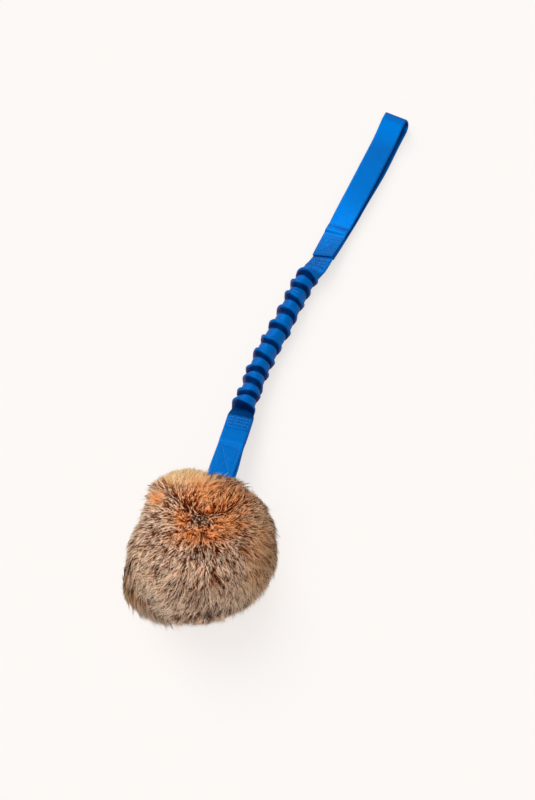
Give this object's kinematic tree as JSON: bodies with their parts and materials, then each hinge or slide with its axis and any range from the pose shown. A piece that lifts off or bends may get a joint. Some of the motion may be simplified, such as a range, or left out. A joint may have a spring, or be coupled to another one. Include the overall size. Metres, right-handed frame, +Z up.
{
  "type": "dog tug toy",
  "caption": "Fur-covered ball on a doubled webbing strap, with a ruched elastic tug section and a webbing hand loop.",
  "frame": {"origin": "on the floor, under the middle of the toy's bounding box", "axes": "+X from the ball to the hand loop, +Z up from the floor that the toy lies on"},
  "size_m": [0.6246, 0.1274, 0.117],
  "materials": {
    "rubber": "matte",
    "hide": "matte",
    "fur": "natural pile",
    "webbing": "woven, slight sheen",
    "sleeve": "woven, slight sheen",
    "elastic": "matte",
    "thread_blue": "satin",
    "thread_tan": "matte"
  },
  "bodies": {
    "ball": {"ball_core": "rubber", "hide_main": "hide", "hide_side": "hide", "fur_main": "fur", "fur_side": "fur", "hide_seam_thread": "thread_tan", "ball_strap": "webbing", "strap_box_stitch": "thread_blue", "strap_cross_stitch": "thread_blue"},
    "lower_end": {"lower_bar_tack_1": "thread_blue", "lower_bar_tack_2": "thread_blue", "lower_bar_tack_3": "thread_blue"},
    "bungee": {"bungee_cord": "elastic"},
    "sleeve": {"bungee_sleeve": "sleeve"},
    "upper_end": {"upper_bar_tack_1": "thread_blue", "upper_bar_tack_2": "thread_blue", "upper_bar_tack_3": "thread_blue"},
    "handle": {"handle_loop": "webbing", "handle_box_stitch": "thread_blue", "handle_cross_stitch": "thread_blue"}
  },
  "joints": [
    {"name": "strap_bend", "type": "hinge", "parent": "ball", "child": "lower_end", "pos_m": [-0.11066, 0.01976, 0.0255], "axis": [-0.1444, 0.9895, 0], "range_deg": [-90, 90], "stiffness_Nm_per_rad": 0.05, "deforming": ["bungee_sleeve", "bungee_cord"]},
    {"name": "bungee_side_bend", "type": "hinge", "parent": "lower_end", "child": "bungee", "pos_m": [-0.08195, 0.02374, 0.02004], "axis": [0, 0, 1], "range_deg": [-70, 70], "stiffness_Nm_per_rad": 0.05, "deforming": ["bungee_sleeve", "bungee_cord"]},
    {"name": "bungee_stretch", "type": "slide", "parent": "bungee", "child": "sleeve", "axis": [1, 0, 0], "range_m": [0, 0.18], "stiffness_N_per_m": 100, "deforming": ["bungee_sleeve", "bungee_cord"]},
    {"name": "bungee_twist", "type": "hinge", "parent": "sleeve", "child": "upper_end", "pos_m": [0.08539, 0.02255, 0.0113], "axis": [1, 0, 0], "range_deg": [-90, 90], "stiffness_Nm_per_rad": 0.03, "deforming": ["bungee_sleeve", "bungee_cord"]},
    {"name": "handle_bend", "type": "hinge", "parent": "upper_end", "child": "handle", "pos_m": [0.11394, 0.01591, 0.00866], "axis": [0.0662, 0.8805, -0.4695], "range_deg": [-90, 90], "stiffness_Nm_per_rad": 0.05, "deforming": ["bungee_sleeve"]}
  ]
}
